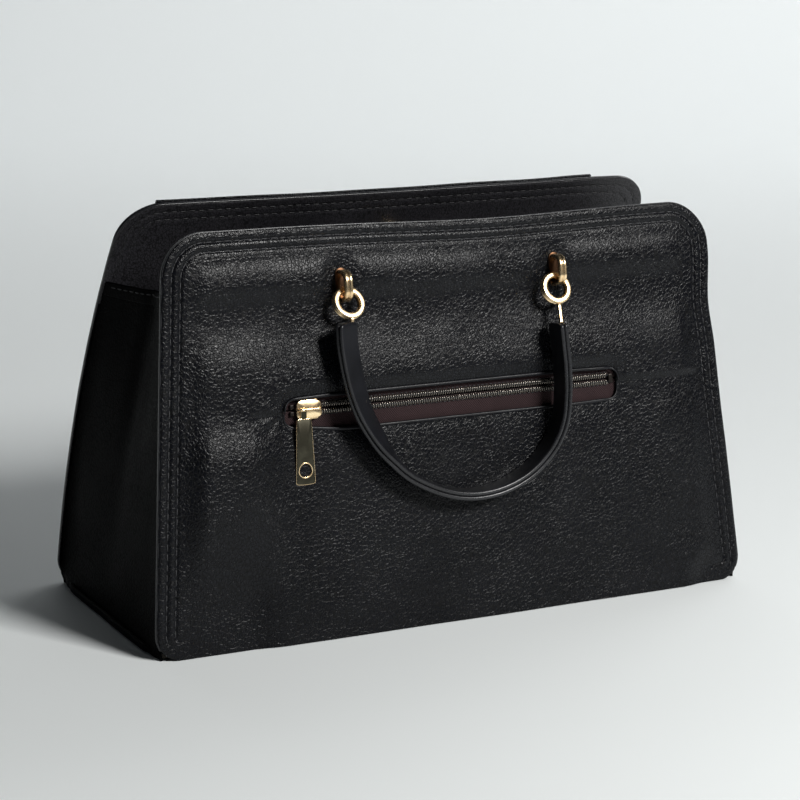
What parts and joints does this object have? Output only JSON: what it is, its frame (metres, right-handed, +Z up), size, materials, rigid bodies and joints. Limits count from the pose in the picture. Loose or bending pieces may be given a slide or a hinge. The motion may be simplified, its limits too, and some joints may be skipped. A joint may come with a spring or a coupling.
{
  "type": "satchel bag",
  "caption": "Trapezoid satchel of pebbled leather with open top, gusseted ends, outer zip pocket and swinging U handles on metal rings.",
  "frame": {"origin": "on the floor under the middle of the base, halfway between the two ends", "axes": "+X along the width, -Y out of the wall with the zip pocket, +Z up"},
  "size_m": [0.3604, 0.1617, 0.2194],
  "materials": {
    "black_leather": "pebbled black leather, soft sheen",
    "lining_cloth": "plain woven dark lining",
    "stiffener_board": "pressed fibre board",
    "gold_hardware": "polished light gold plating",
    "backing_steel": "plain plated steel",
    "zip_tape": "woven brown-black tape",
    "zip_coil": "dark metallic coil"
  },
  "bodies": {
    "bag": {"rear_panel": "black_leather", "front_panel": "black_leather", "rear_facing": "black_leather", "front_facing": "black_leather", "front_yoke": "black_leather", "left_gusset": "black_leather", "right_gusset": "black_leather", "left_gusset_hem": "black_leather", "right_gusset_hem": "black_leather", "base_panel": "black_leather", "left_base_rim": "black_leather", "right_base_rim": "black_leather", "pocket_welt": "black_leather", "rear_lining": "lining_cloth", "front_lining": "lining_cloth", "left_gusset_lining": "lining_cloth", "right_gusset_lining": "lining_cloth", "base_lining": "lining_cloth", "pocket_pouch": "lining_cloth", "rear_board": "stiffener_board", "front_board": "stiffener_board", "base_board": "stiffener_board", "rear_loops": "gold_hardware", "rear_loop_plates": "gold_hardware", "front_loops": "gold_hardware", "front_loop_plates": "gold_hardware", "pocket_stops": "gold_hardware", "snap_socket": "gold_hardware", "snap_stud": "gold_hardware", "rear_loop_washers": "backing_steel", "front_loop_washers": "backing_steel", "snap_backings": "backing_steel", "pocket_tape_upper": "zip_tape", "pocket_tape_lower": "zip_tape", "pocket_coil_upper": "zip_coil", "pocket_coil_lower": "zip_coil"},
    "rear_handle": {"rear_handle_rings": "gold_hardware", "rear_handle_outer": "black_leather", "rear_handle_inner": "black_leather"},
    "front_handle": {"front_handle_rings": "gold_hardware", "front_handle_outer": "black_leather", "front_handle_inner": "black_leather"},
    "zip_slider": {"pocket_slider": "gold_hardware"},
    "zip_puller": {"pocket_puller": "gold_hardware"}
  },
  "joints": [
    {"name": "rear_handle_swing", "type": "hinge", "parent": "bag", "child": "rear_handle", "pos_m": [0, -0.04224, 0.18144], "axis": [-1, 0, 0], "range_deg": [0, 150]},
    {"name": "front_handle_swing", "type": "hinge", "parent": "bag", "child": "front_handle", "pos_m": [0, 0.04049, 0.19329], "axis": [1, 0, 0], "range_deg": [0, 150]},
    {"name": "pocket_zip_slide", "type": "slide", "parent": "bag", "child": "zip_slider", "axis": [1, 0, 0], "range_m": [0, 0.175]},
    {"name": "pocket_puller_swing", "type": "hinge", "parent": "zip_slider", "child": "zip_puller", "pos_m": [-0.092, -0.05197, 0.12011], "axis": [-1, 0, 0], "range_deg": [0, 170]}
  ]
}
